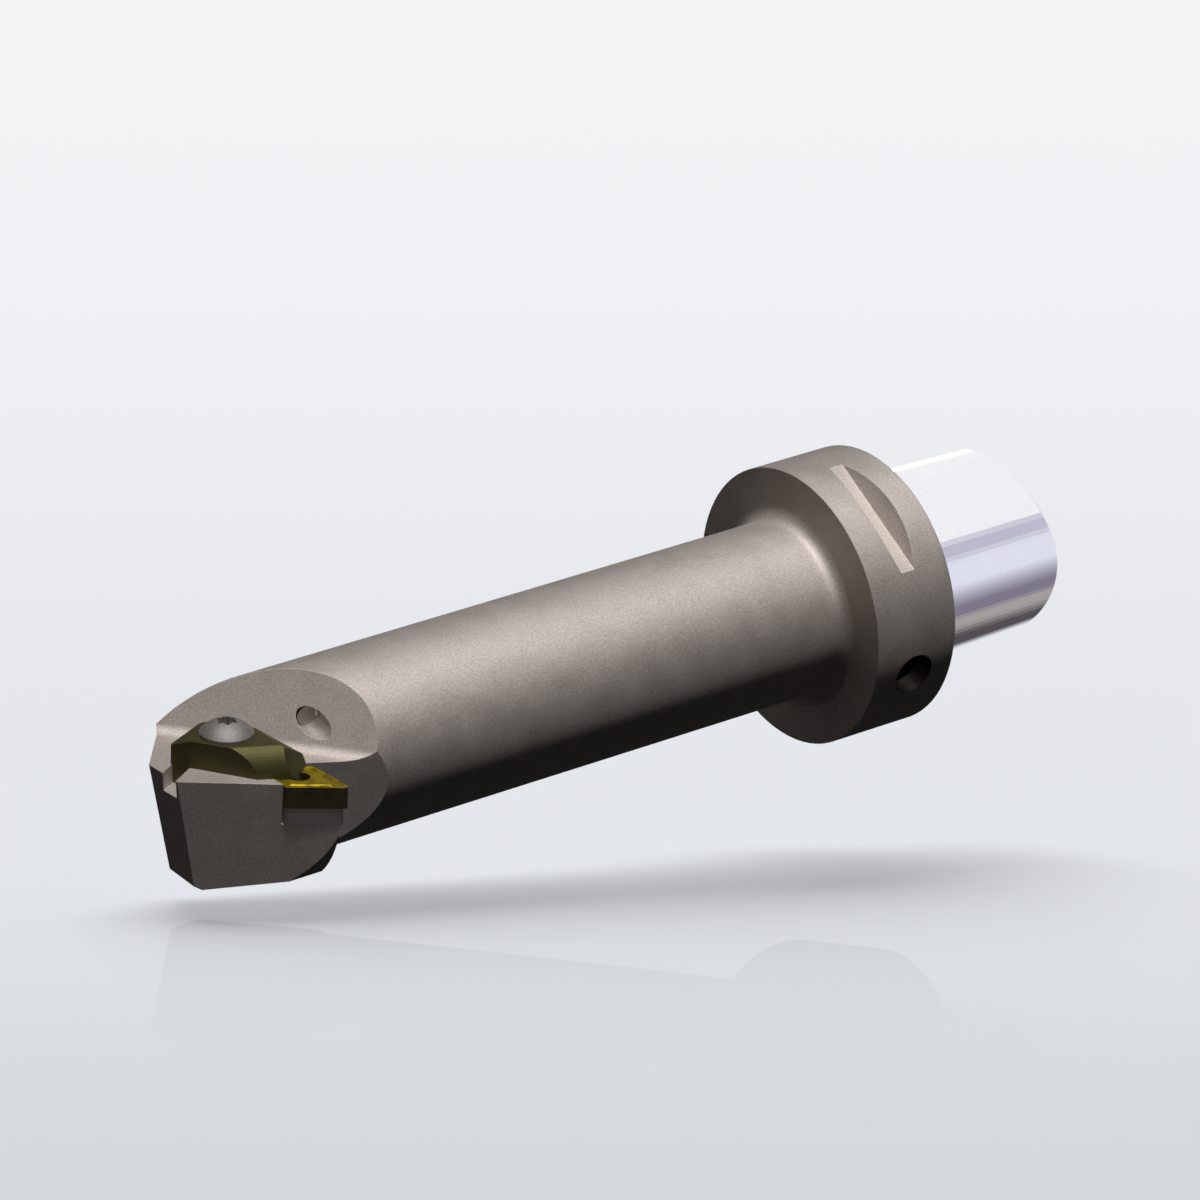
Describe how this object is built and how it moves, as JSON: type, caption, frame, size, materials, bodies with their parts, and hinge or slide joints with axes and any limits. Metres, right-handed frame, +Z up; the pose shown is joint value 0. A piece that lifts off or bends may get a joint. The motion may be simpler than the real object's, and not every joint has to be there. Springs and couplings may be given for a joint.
{
  "type": "boring bar",
  "caption": "Back boring bar: polygon taper shank with flange, round bar, angled head, rhombic indexable insert on a shim under a screwed top clamp.",
  "frame": {"origin": "Centre of the flange's rear face, on the bar's axis: the face that seats on the spindle.", "axes": "+X along the axis from the bar through the taper into the machine, -Y towards the cutting nose, +Z up on the rake side."},
  "size_m": [0.226, 0.063, 0.063],
  "materials": {
    "body_steel": "satin grey nickel-plated steel, the taper ground bright",
    "carbide": "ground cemented carbide",
    "screw_steel": "plain screw steel",
    "gold_coating": "gold-coloured hard coating over dark carbide",
    "olive_clamp": "blackened steel with an olive tone",
    "spring_steel": "spring wire"
  },
  "bodies": {
    "bar": {"bar_body": "body_steel", "shim": "carbide", "shim_screw": "screw_steel", "insert": "gold_coating", "clamp_spring": "spring_steel"},
    "top_clamp": {"clamp": "olive_clamp"},
    "screw": {"clamp_screw": "screw_steel"}
  },
  "joints": [
    {"name": "clamp_lift", "type": "slide", "parent": "bar", "child": "top_clamp", "axis": [0.0419, -0.1701, 0.9845], "range_m": [0, 0.003], "deforming": ["clamp_spring"]},
    {"name": "screw_turn", "type": "hinge", "parent": "top_clamp", "child": "screw", "pos_m": [-0.17359, -0.00345, 0.00469], "axis": [0.0419, -0.1701, 0.9845], "range_deg": [0, 1080]}
  ],
  "couplings": [
    {"joint": "screw_turn", "follows": "clamp_lift", "rad_per_m": 6283.2}
  ]
}
